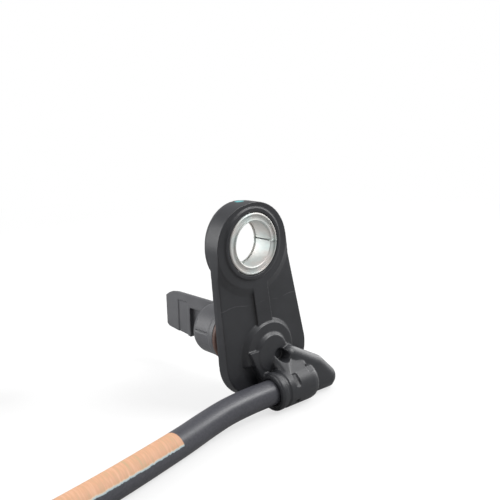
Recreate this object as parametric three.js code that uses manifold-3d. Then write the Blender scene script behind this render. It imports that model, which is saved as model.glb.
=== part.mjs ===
// Wheel speed sensor with a round nose, an oval flange, an elbow for the cable and a plug on its lead.
// Millimetres, +Z up. +Y runs along the nose, away from the flange, and the cable leaves along -X.
// The origin is on the flange's seat, on the flange's centre line, between the bush and the nose.

import * as THREE from 'three';
import { ConvexGeometry } from 'three/addons/geometries/ConvexGeometry.js';
import { mergeVertices } from 'three/addons/utils/BufferGeometryUtils.js';
import Module from 'manifold-3d';

// Clearances
const FIT = 0.1; // radial play between pieces that sit in one another
const GAP = 0.3; // gap where a turned or curved piece meets its neighbour

// Fixing bush, a rolled steel tube with a slit
const BUSH_OUTER = 11.2;
const BUSH_BORE = 8.1;
const BUSH_LENGTH = 4.9;
const BUSH_SLIT = 0.25;
const BUSH_CHAMFER = 0.25;

// Flange moulding
const CENTRE_DISTANCE = 19.75; // bush axis to nose axis
const SEAT_DISTANCE = 6.75; // origin, which lies on the seat, to the bush axis
const FLANGE_LEAN = 8.5; // degrees that the flange leans from upright
const BOSS_RADIUS = 7.6; // the boss is stretched between two such circles
const BOSS_SIDE = 0.6; // their centres beside the bush axis
const BOSS_DROP = 0.3; // and below it
const BOSS_DEPTH = 4.5;
const BOSS_CHAMFER = 1; // chamfer round the seat
const SEAT_RADIUS = 7.35;
const SKIRT_TOP = 8; // shallow skirt from the boss's face down to the plate
const SKIRT_FOOT = 9.6;
const RIM_WIDTH = 0.8; // raised rim round the bush
const RIM_HEIGHT = 0.3;
const PLATE_SETBACK = 2;
const PLATE_THICKNESS = 2;
const PLATE_CORNER = 7.1; // radius of the plate's two lower corners
const PLATE_CORNER_NEAR = 2.15; // their centres from the nose axis, on the cable's side and on the other
const PLATE_CORNER_FAR = 3.55;
const PLATE_CORNER_DROP = 1.95;
const PLATE_FOOT = 0.4; // how much wider the plate's back is at the cable's side
const RIB_WIDTH = 3.6;
const RIB_HEIGHT = 0.5;
const RIB_SIDE = 0.4; // rib beside the flange's line
const PAD_RADIUS = 6.4;
const PAD_TAPER = 0.75;
const PAD_HEIGHT = 0.95;
const PAD_DROP = 1.45; // pad centre below the nose axis
const PAD_SIDE = 0.5; // pad and stub beside the nose axis
const PAD_CUT = 1.5; // the pad ends this far below its centre
const STUB_RADIUS = 4;
const STUB_TAPER = 0.6;
const STUB_HEIGHT = 0.7;
const STUB_RECESS_RADIUS = 1.15;
const STUB_RECESS_DEPTH = 0.6;
const STUB_RECESS_SIDE = 2.1; // recess beside the nose axis
const STUB_RECESS_DROP = 0.6; // and below the pad centre

// Elbow and ferrule, which turn the cable square to the nose
const FERRULE_RADIUS = 3.55;
const FERRULE_DROP = 7.95; // ferrule axis below the nose axis
const FERRULE_MOUTH = 1.96; // mouth face before the nose axis, along the cable
const FERRULE_LENGTH = 10.9;
const FERRULE_SINK = 0.1; // how far the ferrule sinks into the plate
const LIP_LENGTH = 1.2;
const LIP_GROOVE_WIDTH = 0.6;
const LIP_GROOVE_DEPTH = 0.22;
const FERRULE_EDGE = 0.3;
const HEEL_RADIUS = 2.6; // round closed end of the ferrule
const NECK_HEIGHT = 1.55; // neck face above the plate
const NECK_SIDE = 5.1; // neck's side edges from the nose axis
const NECK_CUT = 0.9; // how much nearer the far side edge is
const NECK_RISE = 1.2; // neck's top edge above the pad centre
const NECK_FOOT = 1; // neck's lower edge below the ferrule's axis
const SHOULDER_HEIGHT = 1.85;
const SHOULDER_RADIUS = 1.9;
const SHOULDER_SIDE = 4.2; // shoulder's round face beside the nose axis
const SHOULDER_DROP = 1.2; // and below the pad centre
const CHEEK_HEIGHT = 1.6; // the shoulder's second face, nearer the cable
const CHEEK_RADIUS = 1.5;
const CHEEK_SIDE = 1.6;
const CHEEK_DROP = 1.8;
const TOE_RADIUS = 2.2; // narrower body behind the ferrule's closed end
const TOE_LENGTH = 6.15; // how far it stands past that end
const TOE_RISE = 2.8; // its upper ball above its lower one
const TOE_BACK = 2.8; // and behind it, along the cable
const TOE_LEAN = 0.4; // and nearer the plate
const TOE_LIFT = 0.4; // toe's lowest point above the ferrule's
const TOE_TIP_RADIUS = 1.1; // lower corner of the toe's end
const OVERLAP = 0.2; // how far joined shapes of one moulding run into each other
const CABLE_SEAT_DEPTH = 3; // depth of the cable's socket in the ferrule

// Nose, from the plate to its tip
const NOSE_RADIUS = 5.05;
const NOSE_LENGTH = 31; // from the plate's back face to the tip
const ROOT_LENGTH = 5.7;
const SHOULDER_RING = 0.15; // how much the root and its ring stand over the nose
const GROOVE_WIDTH = 1.6;
const GROOVE_FLOOR = 0.75; // depth below the root
const RING_LENGTH = 1.4;
const COLLAR_LENGTH = 4.9;
const COLLAR_EDGE = 0.7; // sloped edge at the collar's end
const BLADE_FLAT = 1; // sensing block's flat from the nose axis
const SLOT_FLAT = 2.1; // floor of the slot behind the sensing block
const SLOT_TOP = 1.85; // its upper end above the nose axis
const BLOCK_LENGTH = 8.5;
const BLOCK_RECESS_DEPTH = 0.25;
const BLOCK_RECESS_LENGTH = 3.2;
const BLOCK_RECESS_TOP = 2.95; // its upper end above the nose axis
const BLOCK_RIM = 0.9;
const BLADE_SLOPE = 6; // degrees that the blade's lower edge rises towards the tip
const BLADE_STRAIGHT = 4.4; // length of the blade before its lower edge rises
const TIP_ROUND = 4.2; // length of the rounded tip
const SEAM_WIDTH = 0.3;
const SEAM_DEPTH = 0.25;

// Pocket in the nose and what it holds
const POCKET_FLOOR = 3.7; // pocket's far wall from the nose axis
const CHANNEL_HEIGHT = 1.1;
const CHANNEL_WIDTH = 4.2;
const CHAMBER_HEIGHT = 2.1;
const CHAMBER_WIDTH = 5.2;
const TIP_WALL = 3;
const CARRIER_THICKNESS = 0.45;
const CHIP_SIZE = [1.3, 4, 4.6]; // across, along and up
const CAPACITOR_SIZE = [0.5, 3.2, 3.4];
const TERMINAL_WIDTH = 0.9;
const TERMINAL_THICKNESS = 0.25;
const TERMINAL_PITCH = 1.9;

// Cable
const CABLE_DIAMETER = 4.7;
const CORE_DIAMETER = 1.45;
const CORE_PITCH = 1.65;
const CONDUCTOR_DIAMETER = 0.7;
const COIL_RADIUS = 26; // middle of the turns
const COIL_CENTRE = [-97, 9.95];
const COIL_LEAVE = 17.6; // where the lead joins the coil's ring, beside its centre

// Points the lead passes: along and beside the ferrule's axis from its mouth, and its share of the way down
const LEAD_ROUTE = [
  [-5.46, -0.01, 0.04], [-10.66, -0.2, 0.25], [-15.96, -0.95, 0.62], [-21.26, -2.1, 0.92],
  [-26.46, -3.35, 1], [-32.06, -4.75, 1], [-37.46, -6, 1], [-43.46, -7.25, 1], [-50.46, -8.55, 1],
  [-58.46, -9.75, 1], [-66.46, -10.6, 1], [-73.96, -10.9, 1],
];
const TAIL_LENGTH = 8; // end of the cable from the coil's ring to the plug's boot
const TIE_WIDTH = 5;
const TIE_THICKNESS = 1;

// Plug
const BOOT_LENGTH = 11;
const BOOT_WIDE = 8.4;
const BOOT_NARROW = 6;
const PLUG_LENGTH = 23;
const PLUG_WIDTH = 13;
const PLUG_HEIGHT = 12.4;
const PLUG_CORNER = 2.4;
const SOCKET_DEPTH = 12;
const SOCKET_WIDTH = 9.6;
const SOCKET_HEIGHT = 8;
const SOCKET_CORNER = 1.8;
const PLUG_CORE_PITCH = 3; // cores in the boot, spread towards the pins
const PIN_PITCH = 4;
const PIN_WIDTH = 1.5;
const PIN_THICKNESS = 0.64;
const PIN_REACH = 6.4;
const PIN_TAIL = 7;
const LATCH_HEIGHT = 1.5;
const LATCH_WIDTH = 5;
const LATCH_LENGTH = 3.4;
const LATCH_PLACE = 4; // latch from the socket's floor
const PLUG_SEAL_THICKNESS = 1.1;
const PLUG_SEAL_LENGTH = 1.8;
const LOCK_THICKNESS = 1.4;
const LOCK_WIDTH = 6;
const LOCK_DEPTH = 2;
const LOCK_PROUD = 0.6;

// Places worked out from the sizes above
const lean = THREE.MathUtils.degToRad(FLANGE_LEAN);
const along = new THREE.Vector2(Math.sin(lean), -Math.cos(lean)); // bush to nose, in x and z
const bushX = -along.x * SEAT_DISTANCE;
const bushZ = -along.y * SEAT_DISTANCE;
const noseX = bushX + along.x * CENTRE_DISTANCE;
const noseZ = bushZ + along.y * CENTRE_DISTANCE;
const plateBack = -PLATE_SETBACK;
const plateFront = plateBack - PLATE_THICKNESS;
const padZ = noseZ - PAD_DROP;
const padFace = plateFront - PAD_HEIGHT;
const stubFace = padFace - STUB_HEIGHT;
const beside = new THREE.Vector2(-along.y, along.x); // square to the flange's line, away from the cable
const ferruleY = plateFront - FERRULE_RADIUS + FERRULE_SINK;
const ferruleZ = noseZ - FERRULE_DROP;
const mouthX = noseX - FERRULE_MOUTH;
const floorZ = ferruleZ - FERRULE_RADIUS;
const cableR = CABLE_DIAMETER / 2;
const tipY = plateBack + NOSE_LENGTH;
const rootEnd = plateBack + ROOT_LENGTH;
const grooveEnd = rootEnd + GROOVE_WIDTH;
const ringEnd = grooveEnd + RING_LENGTH;
const collarEnd = ringEnd + COLLAR_LENGTH;
const blockY = tipY - BLOCK_LENGTH;
const rootRadius = NOSE_RADIUS + SHOULDER_RING;

const plastic = (color, roughness) => new THREE.MeshStandardMaterial({ color, roughness, metalness: 0 });
const metal = (color, roughness) => new THREE.MeshStandardMaterial({ color, roughness, metalness: 1 });
const blackPlastic = plastic(0x3a3b40, 0.5);
const nosePlastic = plastic(0x40424a, 0.45);
const zinc = metal(0xc9cccf, 0.35);
const brownRubber = plastic(0x8a5a48, 0.6);
const innerPlastic = plastic(0x2c2d30, 0.6);
const epoxy = plastic(0x17181a, 0.4);
const ceramic = plastic(0xb08a5a, 0.5);
const tinned = metal(0xb9bcc0, 0.3);
const copper = metal(0xb56d3f, 0.35);
const coreBlack = plastic(0x1b1b1d, 0.5);
const coreBrown = plastic(0x6d4026, 0.5);
const sheath = plastic(0x202124, 0.35);
const plugPlastic = plastic(0x1f2022, 0.5);
const lockPlastic = plastic(0xc7c9cc, 0.5);
const sealRubber = plastic(0x2f6f8f, 0.6);
const bootRubber = plastic(0x161617, 0.7);
const tiePlastic = plastic(0x101011, 0.5);

const wasm = await Module();
wasm.setup();

// Closed solid from a geometry, its shared corners merged and its faces turned outward
function solid(geometry) {
  const merged = geometry.clone();
  merged.deleteAttribute('normal');
  merged.deleteAttribute('uv');
  const clean = mergeVertices(merged, 1e-4);
  const points = clean.attributes.position.array;
  const corner = (i) => new THREE.Vector3().fromArray(points, 3 * i);
  const faces = [];
  let volume = 0;
  const index = clean.index.array;
  for (let i = 0; i < index.length; i += 3) {
    const [a, b, c] = [index[i], index[i + 1], index[i + 2]];
    if (a === b || b === c || c === a) continue;
    volume += corner(a).dot(corner(b).cross(corner(c)));
    faces.push(a, b, c);
  }
  if (volume < 0) {
    for (let i = 0; i < faces.length; i += 3) [faces[i], faces[i + 1]] = [faces[i + 1], faces[i]];
  }
  return new wasm.Manifold(
    new wasm.Mesh({
      numProp: 3,
      vertProperties: Float32Array.from(points),
      triVerts: Uint32Array.from(faces),
    })
  );
}

const join = (first, ...others) => others.reduce((sum, other) => sum.add(other), first);
const cut = (first, ...others) => others.reduce((rest, other) => rest.subtract(other), first);

// Box from its low and high limits on each axis
function box([x0, x1], [y0, y1], [z0, z1]) {
  const geometry = new THREE.BoxGeometry(x1 - x0, y1 - y0, z1 - z0);
  return solid(geometry.translate((x0 + x1) / 2, (y0 + y1) / 2, (z0 + z1) / 2));
}

// Solid turned about a line along Y through x, z; the outline is a list of radius and y
function turnedY(outline, x, z, sides = 48) {
  const geometry = new THREE.LatheGeometry(outline.map(([r, y]) => new THREE.Vector2(r, y)), sides);
  return solid(geometry.translate(x, 0, z));
}

// Solid turned about a line along X through y, z; the outline is a list of radius and x
function turnedX(outline, y, z, sides = 32) {
  const geometry = new THREE.LatheGeometry(outline.map(([r, x]) => new THREE.Vector2(r, x)), sides);
  return solid(geometry.rotateZ(-Math.PI / 2).translate(0, y, z));
}

const rodY = (radius, y0, y1, x, z, sides) =>
  turnedY([[0, y0], [radius, y0], [radius, y1], [0, y1]], x, z, sides);
const rodX = (radius, x0, x1, y, z, sides) =>
  turnedX([[0, x0], [radius, x0], [radius, x1], [0, x1]], y, z, sides);

// Shape in x and z, pushed along Y from y0 to y1
function slabY(shape, y0, y1, curveSegments = 12) {
  const geometry = new THREE.ExtrudeGeometry(shape, { depth: y1 - y0, bevelEnabled: false, curveSegments });
  return solid(geometry.rotateX(Math.PI / 2).translate(0, y1, 0));
}

// Tube of a round section along a curve
function tube(curve, radius, steps, sides) {
  const section = new THREE.Shape();
  for (let i = 0; i < sides; i += 1) {
    const angle = (2 * Math.PI * i) / sides;
    const point = [radius * Math.cos(angle), radius * Math.sin(angle)];
    if (i === 0) section.moveTo(...point);
    else section.lineTo(...point);
  }
  section.closePath();
  return solid(new THREE.ExtrudeGeometry(section, { steps, extrudePath: curve, bevelEnabled: false }));
}

// Rectangle with round corners, centred on 0, 0
function roundedRectangle(width, height, radius) {
  const [w, h] = [width / 2, height / 2];
  const r = Math.min(radius, w, h);
  const shape = new THREE.Shape();
  shape.moveTo(w, -h + r);
  shape.lineTo(w, h - r);
  shape.absarc(w - r, h - r, r, 0, Math.PI / 2, false);
  shape.lineTo(-w + r, h);
  shape.absarc(-w + r, h - r, r, Math.PI / 2, Math.PI, false);
  shape.lineTo(-w, -h + r);
  shape.absarc(-w + r, -h + r, r, Math.PI, 1.5 * Math.PI, false);
  shape.lineTo(w - r, -h);
  shape.absarc(w - r, -h + r, r, 1.5 * Math.PI, 2 * Math.PI, false);
  return shape;
}

// Prism along X of a shape whose x is the part's y and whose y is the part's z
function slabX(shape, x0, x1, y, z, curveSegments = 5) {
  const geometry = new THREE.ExtrudeGeometry(shape, { depth: x1 - x0, bevelEnabled: false, curveSegments });
  const turn = new THREE.Matrix4().makeBasis(
    new THREE.Vector3(0, 1, 0), new THREE.Vector3(0, 0, 1), new THREE.Vector3(1, 0, 0)
  );
  return solid(geometry.applyMatrix4(turn).translate(x0, y, z));
}

const sensor = new THREE.Group();

function addPiece(name, shape, material) {
  const { vertProperties, triVerts } = shape.getMesh();
  const geometry = new THREE.BufferGeometry();
  geometry.setAttribute('position', new THREE.BufferAttribute(Float32Array.from(vertProperties), 3));
  geometry.setIndex(new THREE.BufferAttribute(Uint32Array.from(triVerts), 1));
  const mesh = new THREE.Mesh(geometry, material);
  mesh.name = name;
  sensor.add(mesh);
}

// Points of a geometry, for a shape stretched over several of them
function cornersOf(geometry) {
  const { array } = geometry.attributes.position;
  return Array.from({ length: array.length / 3 }, (_, i) => new THREE.Vector3().fromArray(array, 3 * i));
}

const stretched = (geometries) => solid(new ConvexGeometry(geometries.flatMap(cornersOf)));

// Plain disc with its axis along Y
function discY(radius, y0, y1, x, z, sides = 40) {
  return new THREE.CylinderGeometry(radius, radius, y1 - y0, sides).translate(x, (y0 + y1) / 2, z);
}

// Discs that span the boss's outline
function bossDiscs(y0, y1) {
  const middle = new THREE.Vector2(bushX, bushZ).addScaledVector(along, BOSS_DROP);
  return [-BOSS_SIDE, BOSS_SIDE].map((side) => {
    const centre = middle.clone().addScaledVector(beside, side);
    return discY(BOSS_RADIUS, y0, y1, centre.x, centre.y, 56);
  });
}

// Plate: the boss's outline and the two round lower corners, with straight sides between them
function plate(y0, y1) {
  const z = noseZ - PLATE_CORNER_DROP;
  const near = new THREE.CylinderGeometry(PLATE_CORNER + PLATE_FOOT, PLATE_CORNER, y1 - y0, 48);
  near.translate(noseX - PLATE_CORNER_NEAR, (y0 + y1) / 2, z);
  return stretched([...bossDiscs(y0, y1), near, discY(PLATE_CORNER, y0, y1, noseX + PLATE_CORNER_FAR, z, 48)]);
}

// Middle line of the passage that the cores follow from the ferrule up to the nose's pocket
const pocketX = noseX + POCKET_FLOOR - CHANNEL_HEIGHT / 2;
const corePath = new THREE.CatmullRomCurve3([
  new THREE.Vector3(pocketX, plateBack + 0.2, noseZ),
  new THREE.Vector3(pocketX + 0.1, plateFront + 1.1, noseZ - 0.5),
  new THREE.Vector3(pocketX + 0.9, plateFront - 0.4, noseZ - 2.8),
  new THREE.Vector3(pocketX + 1.4, plateFront - 1.7, noseZ - 5),
  new THREE.Vector3(pocketX + 1, ferruleY + 0.5, ferruleZ + 0.7),
  new THREE.Vector3(pocketX - 0.8, ferruleY, ferruleZ),
  new THREE.Vector3(mouthX + CABLE_SEAT_DEPTH - 0.4, ferruleY, ferruleZ),
]);

// Points beside a curve, a set distance off to one side
function besideCurve(curve, offset, from, to, count) {
  const frames = curve.computeFrenetFrames(60, false);
  return Array.from({ length: count }, (_, i) => {
    const t = from + ((to - from) * i) / (count - 1);
    const side = frames.binormals[Math.round(60 * t)];
    return curve.getPointAt(t).addScaledVector(side, offset);
  });
}

const curveThrough = (points) => new THREE.CatmullRomCurve3(points);

// Neck, shoulder and toe of the elbow, which carry the ferrule from the pad
function elbow() {
  const heel = mouthX + FERRULE_LENGTH - HEEL_RADIUS;
  const neck = new THREE.Shape();
  neck.moveTo(noseX - NECK_SIDE, padZ + NECK_RISE);
  neck.lineTo(noseX + NECK_SIDE - NECK_CUT, padZ + NECK_RISE);
  neck.lineTo(heel, ferruleZ + NECK_FOOT);
  neck.lineTo(heel, ferruleZ - NECK_FOOT);
  neck.lineTo(mouthX + OVERLAP, ferruleZ - NECK_FOOT);
  neck.lineTo(mouthX + OVERLAP, ferruleZ + NECK_FOOT);
  neck.closePath();
  const barrelR = FERRULE_RADIUS - LIP_GROOVE_DEPTH;
  const barrelStart = mouthX + 2 * LIP_LENGTH + LIP_GROOVE_WIDTH;
  const barrel = new THREE.CylinderGeometry(barrelR, barrelR, heel - barrelStart, 20)
    .rotateZ(Math.PI / 2).translate((heel + barrelStart) / 2, ferruleY, ferruleZ);
  const face = (radius, height, side, drop) =>
    discY(radius, plateFront - height, plateFront + OVERLAP, noseX + side, padZ - drop, 20);
  const shoulder = stretched([
    face(SHOULDER_RADIUS, SHOULDER_HEIGHT, SHOULDER_SIDE, SHOULDER_DROP),
    face(CHEEK_RADIUS, CHEEK_HEIGHT, CHEEK_SIDE, CHEEK_DROP),
    barrel,
  ]);
  const toeX = mouthX + FERRULE_LENGTH + TOE_LENGTH - TOE_RADIUS;
  const toeY = ferruleY + TOE_LEAN;
  const ball = (x, y, z, radius = TOE_RADIUS) => new THREE.SphereGeometry(radius, 16, 10).translate(x, y, z);
  const toeZ = floorZ + TOE_RADIUS + TOE_LIFT;
  const toe = stretched([
    ball(toeX, toeY, toeZ),
    ball(toeX - TOE_BACK, toeY + TOE_LEAN, toeZ + TOE_RISE),
    ball(heel, toeY, toeZ),
    ball(toeX + TOE_RADIUS - TOE_TIP_RADIUS, toeY, floorZ + TOE_TIP_RADIUS + FIT, TOE_TIP_RADIUS),
    ball(noseX + SHOULDER_SIDE, plateFront - SHOULDER_RADIUS + OVERLAP, padZ - SHOULDER_DROP, SHOULDER_RADIUS),
  ]);
  return join(slabY(neck, plateFront - NECK_HEIGHT, plateFront + OVERLAP), shoulder, toe);
}

// Lipped barrel with a round closed end
function ferrule() {
  const r = FERRULE_RADIUS;
  const grooved = r - LIP_GROOVE_DEPTH;
  const lip = mouthX + LIP_LENGTH;
  const slope = FERRULE_EDGE / 2;
  const heel = mouthX + FERRULE_LENGTH - HEEL_RADIUS;
  const round = [0, 1, 2, 3, 4].map((i) => {
    const angle = (Math.PI / 10) * i;
    return [r * Math.cos(angle), heel + HEEL_RADIUS * Math.sin(angle)];
  });
  return turnedX(
    [
      [0, mouthX], [r - FERRULE_EDGE, mouthX], [r, mouthX + FERRULE_EDGE], [r, lip], [grooved, lip + slope],
      [grooved, lip + slope + LIP_GROOVE_WIDTH], [r, lip + 2 * slope + LIP_GROOVE_WIDTH],
      ...round, [0, heel + HEEL_RADIUS],
    ],
    ferruleY, ferruleZ
  );
}

function flangeBody() {
  const boss = stretched([
    discY(SEAT_RADIUS, -BOSS_CHAMFER, 0, bushX, bushZ, 48), ...bossDiscs(-BOSS_DEPTH, -BOSS_CHAMFER),
  ]);
  const bossCone = turnedY(
    [[0, -BOSS_DEPTH], [SKIRT_TOP, -BOSS_DEPTH], [SKIRT_FOOT, plateFront], [SKIRT_FOOT, plateBack], [0, plateBack]],
    bushX, bushZ, 56
  );
  const skirt = plate(-BOSS_DEPTH, plateBack).intersect(bossCone);
  const rim = rodY(
    BUSH_OUTER / 2 + FIT + RIM_WIDTH, -BOSS_DEPTH - RIM_HEIGHT, -BOSS_DEPTH + OVERLAP, bushX, bushZ, 48
  );
  const pad = cut(
    turnedY(
      [
        [0, padFace], [PAD_RADIUS - PAD_TAPER, padFace], [PAD_RADIUS, plateFront],
        [PAD_RADIUS, plateFront + OVERLAP], [0, plateFront + OVERLAP],
      ],
      noseX + PAD_SIDE, padZ
    ),
    box([noseX - 2 * PAD_RADIUS, noseX + 2 * PAD_RADIUS], [padFace - 1, plateFront - FIT], [padZ - 2 * PAD_RADIUS, padZ - PAD_CUT])
  );
  const stub = turnedY(
    [
      [0, stubFace], [STUB_RADIUS - STUB_TAPER, stubFace], [STUB_RADIUS, padFace],
      [STUB_RADIUS, padFace + OVERLAP], [0, padFace + OVERLAP],
    ],
    noseX + PAD_SIDE, padZ, 32
  );
  const rib = new THREE.Shape();
  const ribCorner = (distance, side) => {
    const corner = new THREE.Vector2(bushX, bushZ).addScaledVector(along, distance);
    return corner.addScaledVector(beside, RIB_SIDE + (side * RIB_WIDTH) / 2);
  };
  const ribCorners = [
    ribCorner(SEAT_RADIUS, -1), ribCorner(CENTRE_DISTANCE, -1), ribCorner(CENTRE_DISTANCE, 1), ribCorner(SEAT_RADIUS, 1),
  ];
  rib.setFromPoints(ribCorners);
  const recess = rodY(
    STUB_RECESS_RADIUS, 2 * stubFace, stubFace + STUB_RECESS_DEPTH,
    noseX + STUB_RECESS_SIDE, padZ - STUB_RECESS_DROP, 20
  );
  const body = join(
    plate(plateFront, plateBack), boss, skirt, rim, pad, stub,
    slabY(rib, plateFront - RIB_HEIGHT, plateFront + OVERLAP), elbow(), ferrule()
  );
  return cut(
    body, recess,
    rodY(BUSH_OUTER / 2 + FIT, -BUSH_LENGTH - 2, 2, bushX, bushZ, 48),
    rodX(cableR + GAP, mouthX - 2, mouthX + CABLE_SEAT_DEPTH, ferruleY, ferruleZ, 20),
    ...[-1, 1].map((side) =>
      tube(curveThrough(besideCurve(corePath, (side * CORE_PITCH) / 2, 0, 1, 12)), CORE_DIAMETER / 2 + FIT, 20, 12)
    ),
    box(
      [pocketX - CHANNEL_HEIGHT / 2, pocketX + CHANNEL_HEIGHT / 2], [plateBack - 1.2, plateBack + 1],
      [noseZ - CHANNEL_WIDTH / 2, noseZ + CHANNEL_WIDTH / 2]
    )
  );
}

function fixingBush() {
  const [outer, bore] = [BUSH_OUTER / 2, BUSH_BORE / 2];
  const c = BUSH_CHAMFER;
  const ring = turnedY(
    [
      [bore, -c], [bore + c, 0], [outer - c, 0], [outer, -c],
      [outer, -BUSH_LENGTH + c], [outer - c, -BUSH_LENGTH], [bore + c, -BUSH_LENGTH], [bore, -BUSH_LENGTH + c], [bore, -c],
    ],
    bushX, bushZ, 48
  );
  const slit = box(
    [bushX, bushX + outer + 2], [-BUSH_LENGTH - 1, 1], [bushZ - BUSH_SLIT / 2, bushZ + BUSH_SLIT / 2]
  );
  return cut(ring, slit);
}

function noseHousing() {
  const r = NOSE_RADIUS;
  const profile = [
    [0, plateBack], [rootRadius, plateBack], [rootRadius, rootEnd], [rootRadius - GROOVE_FLOOR, rootEnd],
    [rootRadius - GROOVE_FLOOR, grooveEnd], [rootRadius, grooveEnd], [rootRadius, ringEnd - 0.2],
    [r, ringEnd], [r, collarEnd - COLLAR_EDGE], [r - 0.25, collarEnd], [r - 0.1, collarEnd + 0.2],
    [r - 0.1, tipY - TIP_ROUND], [r - 0.35, tipY - 0.62 * TIP_ROUND], [r - 0.9, tipY - 0.28 * TIP_ROUND], [r - 1.6, tipY],
    [0, tipY],
  ];
  const back = noseX + POCKET_FLOOR;
  const away = 3 * NOSE_RADIUS;
  const channel = box(
    [back - CHANNEL_HEIGHT, back], [plateBack - 1, tipY - TIP_WALL],
    [noseZ - CHANNEL_WIDTH / 2, noseZ + CHANNEL_WIDTH / 2]
  );
  const chamber = box(
    [back - CHAMBER_HEIGHT, back], [blockY + 0.7, tipY - TIP_WALL],
    [noseZ - CHAMBER_WIDTH / 2, noseZ + CHAMBER_WIDTH / 2]
  );
  const flat = box([noseX - away, noseX + BLADE_FLAT], [collarEnd, tipY + 1], [noseZ - away, noseZ + away]);
  const slot = box([noseX, noseX + SLOT_FLAT], [collarEnd, blockY], [noseZ - away, noseZ + SLOT_TOP]);
  const riseStart = collarEnd + BLADE_STRAIGHT;
  const rise = Math.tan(THREE.MathUtils.degToRad(BLADE_SLOPE)) * (tipY + 1 - riseStart);
  const underneath = new THREE.Shape([
    new THREE.Vector2(riseStart, noseZ - NOSE_RADIUS), new THREE.Vector2(riseStart, noseZ - away),
    new THREE.Vector2(tipY + 1, noseZ - away), new THREE.Vector2(tipY + 1, noseZ - NOSE_RADIUS + rise),
  ]);
  const recess = box(
    [noseX, noseX + BLADE_FLAT + BLOCK_RECESS_DEPTH],
    [blockY + BLOCK_RIM, blockY + BLOCK_RIM + BLOCK_RECESS_LENGTH],
    [noseZ - away, noseZ + BLOCK_RECESS_TOP]
  );
  const seam = box(
    [noseX - away, noseX - NOSE_RADIUS + SEAM_DEPTH], [ringEnd + 0.3, collarEnd - COLLAR_EDGE - 0.2],
    [noseZ + 0.5, noseZ + 0.5 + SEAM_WIDTH]
  );
  return cut(
    turnedY(profile, noseX, noseZ), flat, slot, slabX(underneath, noseX - away, noseX + away, 0, 0), channel, chamber,
    recess, seam
  );
}

function sealRing() {
  const middle = (rootEnd + grooveEnd) / 2;
  const [inner, outer] = [rootRadius - GROOVE_FLOOR + FIT, rootRadius + 0.4];
  const [centre, half] = [(inner + outer) / 2, (outer - inner) / 2];
  const outline = [];
  for (let i = 0; i <= 12; i += 1) {
    const angle = (2 * Math.PI * i) / 12;
    outline.push([centre + half * Math.cos(angle), middle + half * Math.sin(angle)]);
  }
  outline[12] = outline[0];
  return turnedY(outline, noseX, noseZ);
}

function addNosePieces() {
  const back = noseX + POCKET_FLOOR - FIT;
  const front = tipY - TIP_WALL - GAP;
  const carrierFace = back - CARRIER_THICKNESS;
  const halfWidth = CHANNEL_WIDTH / 2 - FIT;
  addPiece('nose_housing', noseHousing(), nosePlastic);
  addPiece('nose_seal_ring', sealRing(), brownRubber);
  addPiece(
    'chip_carrier',
    box([carrierFace, back], [plateBack + 1, front], [noseZ - halfWidth, noseZ + halfWidth]), innerPlastic
  );
  const [chipX, chipY, chipZ] = CHIP_SIZE;
  addPiece(
    'sensing_chip',
    box([carrierFace - chipX, carrierFace], [front - chipY, front], [noseZ - chipZ / 2, noseZ + chipZ / 2]), epoxy
  );
  const [capX, capY, capZ] = CAPACITOR_SIZE;
  const capEnd = blockY - 1;
  addPiece(
    'supply_capacitor',
    box([carrierFace - capX, carrierFace], [capEnd - capY, capEnd], [noseZ - capZ / 2, noseZ + capZ / 2]), ceramic
  );
  ['a', 'b'].forEach((letter, i) => {
    const middle = noseZ + (i === 0 ? 0.5 : -0.5) * TERMINAL_PITCH;
    const [low, high] = [middle - TERMINAL_WIDTH / 2, middle + TERMINAL_WIDTH / 2];
    const lead = box(
      [carrierFace - TERMINAL_THICKNESS, carrierFace], [capEnd + FIT, front - chipY - FIT], [low, high]
    );
    const strip = box(
      [carrierFace - TERMINAL_THICKNESS, carrierFace], [plateBack + 1.2, capEnd - capY - FIT], [low, high]
    );
    addPiece(`chip_lead_${letter}`, lead, tinned);
    addPiece(`terminal_${letter}`, strip, tinned);
  });
}

function addCores() {
  ['a', 'b'].forEach((letter, i) => {
    const offset = (i === 0 ? 0.5 : -0.5) * CORE_PITCH;
    const line = (from, to) => curveThrough(besideCurve(corePath, offset, from, to, 9));
    addPiece(`core_${letter}`, tube(line(0.2, 0.93), CORE_DIAMETER / 2, 16, 10), i === 0 ? coreBlack : coreBrown);
    addPiece(`core_conductor_${letter}`, tube(line(0.02, 0.17), CONDUCTOR_DIAMETER / 2, 4, 8), copper);
  });
}

// Route of the lead over the surface from the ferrule to the coil
const leadZ = floorZ + cableR;
const leadPoints = [
  [mouthX + CABLE_SEAT_DEPTH - GAP, ferruleY, ferruleZ],
  [mouthX, ferruleY, ferruleZ],
  ...LEAD_ROUTE.map(([x, y, drop]) => [mouthX + x, ferruleY + y, ferruleZ + (leadZ - ferruleZ) * drop]),
  [COIL_CENTRE[0] + COIL_LEAVE, COIL_CENTRE[1] - COIL_RADIUS - cableR, leadZ],
];

// The coil holds two layers of two turns beside each other
const plugZ = floorZ + PLUG_HEIGHT / 2;
const upperZ = floorZ + 3 * cableR;
const tailY = COIL_CENTRE[1] + COIL_RADIUS + cableR;
const tailStart = COIL_CENTRE[0] + COIL_LEAVE;
const bootStart = tailStart + TAIL_LENGTH;
const tailPoints = [
  [tailStart, tailY, upperZ],
  [tailStart + 3, tailY, upperZ - 0.15],
  [bootStart - 3, tailY, plugZ + 0.1],
  [bootStart - GAP, tailY, plugZ],
];

// Ring of the coil's whole outer shape, and the band that ties its turns together
const coilTop = floorZ + 4 * cableR;
const [coilInner, coilOuter] = [COIL_RADIUS - 2 * cableR, COIL_RADIUS + 2 * cableR];

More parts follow.
